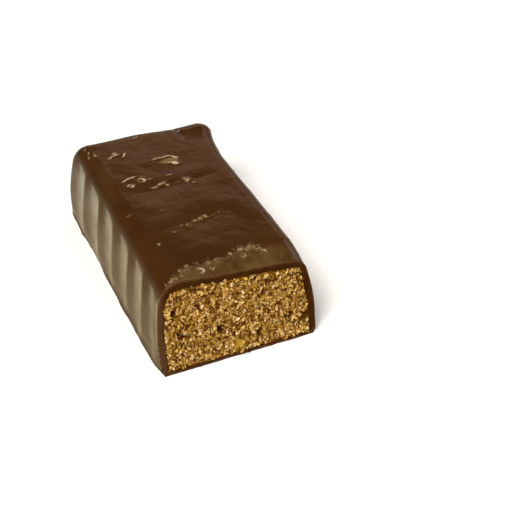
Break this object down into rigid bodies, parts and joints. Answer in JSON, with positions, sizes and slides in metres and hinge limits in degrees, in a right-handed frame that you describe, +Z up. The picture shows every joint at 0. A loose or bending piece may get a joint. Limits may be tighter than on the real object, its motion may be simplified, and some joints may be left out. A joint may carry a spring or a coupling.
{
  "type": "protein bar half",
  "caption": "Cut half of a chocolate-coated protein bar lying flat, ribbed on its sides and rounded at the uncut end, with a golden crumb filling at the cut.",
  "frame": {"origin": "under the middle of the half bar, on the surface that it lies on", "axes": "+Z up, +Y along the bar from the cut towards the uncut end, +X across it"},
  "size_m": [0.0294, 0.0584, 0.0181],
  "materials": {
    "chocolate": "satin dark chocolate with a soft gloss",
    "crumb": "matte, flaky golden crumb"
  },
  "bodies": {
    "root": {"chocolate_coat": "chocolate", "crumb_filling": "crumb"}
  },
  "joints": []
}
